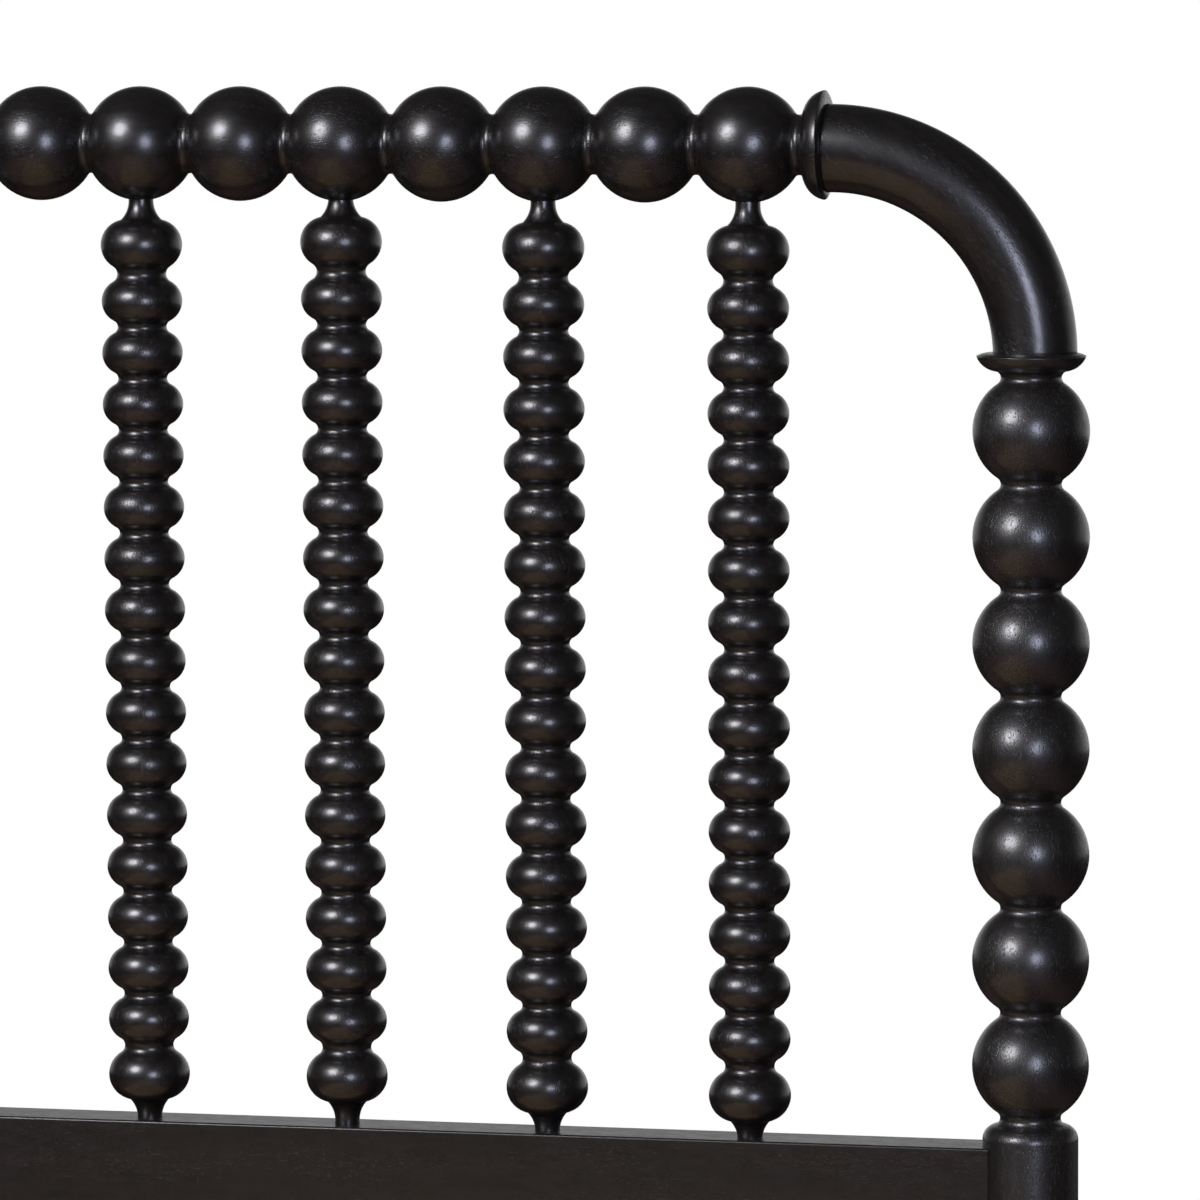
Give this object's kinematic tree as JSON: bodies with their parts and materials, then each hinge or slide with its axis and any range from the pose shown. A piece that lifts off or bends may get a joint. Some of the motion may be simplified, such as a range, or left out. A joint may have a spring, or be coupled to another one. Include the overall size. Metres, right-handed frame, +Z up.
{
  "type": "spindle bed",
  "caption": "Twin bed frame with beaded posts and top rails, bobbin spindles, bent corner elbows, flat side rails and a slatted mattress deck.",
  "frame": {"origin": "on the floor, under the middle of the bed", "axes": "+X to the right seen from the foot, +Y from the foot to the head, +Z up"},
  "size_m": [1.0464, 2.02, 1.168],
  "materials": {
    "black_wood_upright": "satin black stain, open grain running up the piece",
    "black_wood_across": "satin black stain, open grain running across the bed",
    "black_wood_lengthwise": "satin black stain, open grain running along the bed",
    "black_wood_elbow": "satin black stain on a bent piece",
    "slat_pine": "planed and left bare",
    "dowel_beech": "bare",
    "black_steel": "black oxide",
    "zinc_steel": "zinc plated",
    "glide_plastic": "moulded"
  },
  "bodies": {
    "root": {"headboard_top_rail": "black_wood_across", "headboard_left_elbow": "black_wood_elbow", "headboard_left_post": "black_wood_upright", "headboard_right_elbow": "black_wood_elbow", "headboard_right_post": "black_wood_upright", "headboard_cross_rail": "black_wood_across", "headboard_lower_rail": "black_wood_across", "headboard_spindle_1": "black_wood_upright", "headboard_spindle_2": "black_wood_upright", "headboard_spindle_3": "black_wood_upright", "headboard_spindle_4": "black_wood_upright", "headboard_spindle_5": "black_wood_upright", "headboard_spindle_6": "black_wood_upright", "headboard_spindle_7": "black_wood_upright", "headboard_spindle_8": "black_wood_upright", "headboard_elbow_dowels": "dowel_beech", "footboard_top_rail": "black_wood_across", "footboard_left_elbow": "black_wood_elbow", "footboard_left_post": "black_wood_upright", "footboard_right_elbow": "black_wood_elbow", "footboard_right_post": "black_wood_upright", "footboard_cross_rail": "black_wood_across", "footboard_spindle_1": "black_wood_upright", "footboard_spindle_2": "black_wood_upright", "footboard_spindle_3": "black_wood_upright", "footboard_spindle_4": "black_wood_upright", "footboard_spindle_5": "black_wood_upright", "footboard_spindle_6": "black_wood_upright", "footboard_spindle_7": "black_wood_upright", "footboard_spindle_8": "black_wood_upright", "footboard_elbow_dowels": "dowel_beech", "left_side_rail": "black_wood_lengthwise", "left_cleat": "black_wood_lengthwise", "right_side_rail": "black_wood_lengthwise", "right_cleat": "black_wood_lengthwise", "slat_01": "slat_pine", "slat_02": "slat_pine", "slat_03": "slat_pine", "slat_04": "slat_pine", "slat_05": "slat_pine", "slat_06": "slat_pine", "slat_07": "slat_pine", "slat_08": "slat_pine", "slat_09": "slat_pine", "slat_10": "slat_pine", "slat_11": "slat_pine", "slat_12": "slat_pine", "slat_13": "slat_pine", "slat_14": "slat_pine", "locating_dowels": "dowel_beech", "bed_bolts": "black_steel", "barrel_nuts": "zinc_steel", "slat_screws": "zinc_steel", "cleat_screws": "zinc_steel", "floor_glides": "glide_plastic"}
  },
  "joints": []
}
